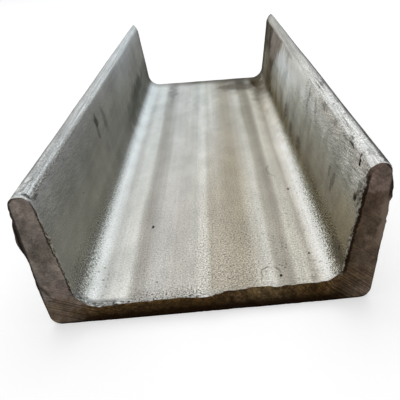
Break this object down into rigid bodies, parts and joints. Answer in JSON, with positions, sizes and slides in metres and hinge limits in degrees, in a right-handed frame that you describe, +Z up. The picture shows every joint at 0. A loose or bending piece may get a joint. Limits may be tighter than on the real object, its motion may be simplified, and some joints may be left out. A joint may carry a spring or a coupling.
{
  "type": "metal channel section",
  "caption": "Short cut length of hot-rolled U channel stock: flat web, tapered flanges, rounded roots and toes. For framing, bearers, rails and welded supports.",
  "frame": {"origin": "middle of the web's back, on the floor, halfway along the overall length", "axes": "+Y along the bar to the square end, +X across the section, +Z up out of the open side"},
  "size_m": [0.12, 0.266, 0.056],
  "materials": {
    "mill_steel": "pickled mill finish with rolling streaks and dirt, dark saw-cut ends"
  },
  "bodies": {
    "root": {"channel": "mill_steel"}
  },
  "joints": []
}
